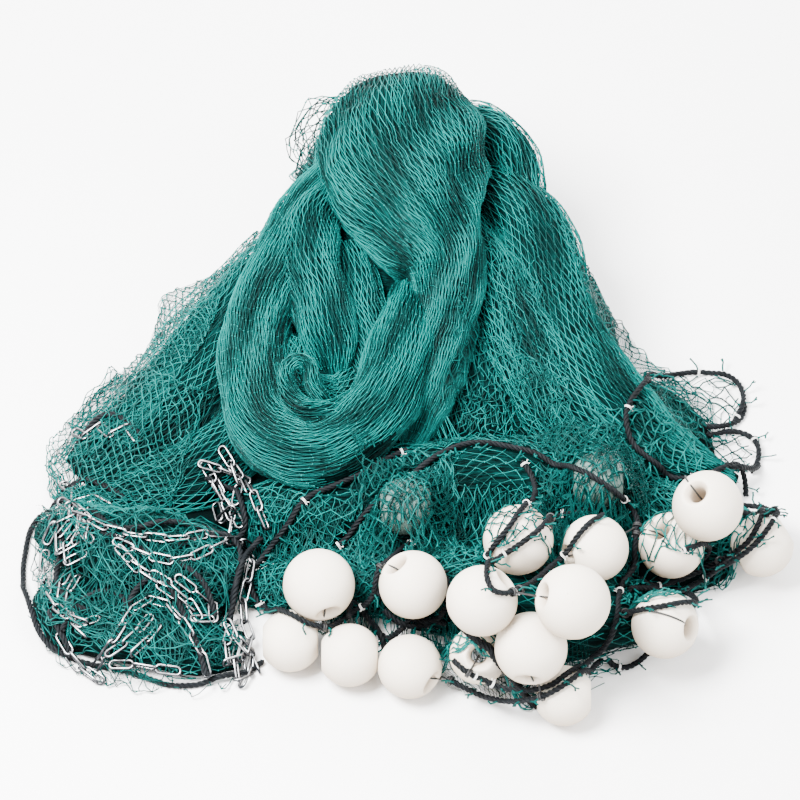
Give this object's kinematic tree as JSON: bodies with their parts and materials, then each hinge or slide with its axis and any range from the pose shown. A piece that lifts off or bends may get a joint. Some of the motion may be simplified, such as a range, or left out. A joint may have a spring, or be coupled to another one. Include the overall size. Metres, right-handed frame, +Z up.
{
  "type": "fishing net",
  "caption": "Fishing net gathered in a heap: twisted hank of netting, spread wings, float line with ball floats, lead line and chain; lies flat on the floor.",
  "frame": {"origin": "centre of the bounding box at floor level, where the heap rests", "axes": "+Z up from the floor; -Y towards the row of floats at the front; +X towards the rope loops, away from the chained end"},
  "size_m": [0.8232, 0.8183, 0.2768],
  "materials": {
    "green_twine": "knotted nylon twine, softly shiny",
    "cream_foam": "smooth matte foam skin",
    "black_rope": "three-strand twisted rope",
    "zinc_chain": "bright zinc plated long-link chain"
  },
  "bodies": {
    "root": {"netting": "green_twine", "float_01": "cream_foam", "float_02": "cream_foam", "float_03": "cream_foam", "float_04": "cream_foam", "float_05": "cream_foam", "float_06": "cream_foam", "float_07": "cream_foam", "float_08": "cream_foam", "float_09": "cream_foam", "float_10": "cream_foam", "float_11": "cream_foam", "float_12": "cream_foam", "float_13": "cream_foam", "float_14": "cream_foam", "float_15": "cream_foam", "float_16": "cream_foam", "float_17": "cream_foam", "float_18": "cream_foam", "float_line_1": "black_rope", "float_line_2": "black_rope", "float_line_3": "black_rope", "float_line_4": "black_rope", "float_line_5": "black_rope", "float_line_6": "black_rope", "float_line_7": "black_rope", "float_line_8": "black_rope", "float_line_9": "black_rope", "float_line_10": "black_rope", "float_line_11": "black_rope", "float_line_12": "black_rope", "float_line_13": "black_rope", "float_line_14": "black_rope", "float_line_15": "black_rope", "float_line_16": "black_rope", "lead_line_1": "black_rope", "lead_line_2": "black_rope", "lead_line_3": "black_rope", "lead_line_4": "black_rope", "lead_line_5": "black_rope", "lead_chain_1": "zinc_chain", "lead_chain_2": "zinc_chain", "lead_chain_3": "zinc_chain", "lead_chain_4": "zinc_chain", "lead_chain_5": "zinc_chain", "lead_chain_6": "zinc_chain", "lead_chain_7": "zinc_chain", "lead_chain_8": "zinc_chain", "lead_chain_9": "zinc_chain"}
  },
  "joints": []
}
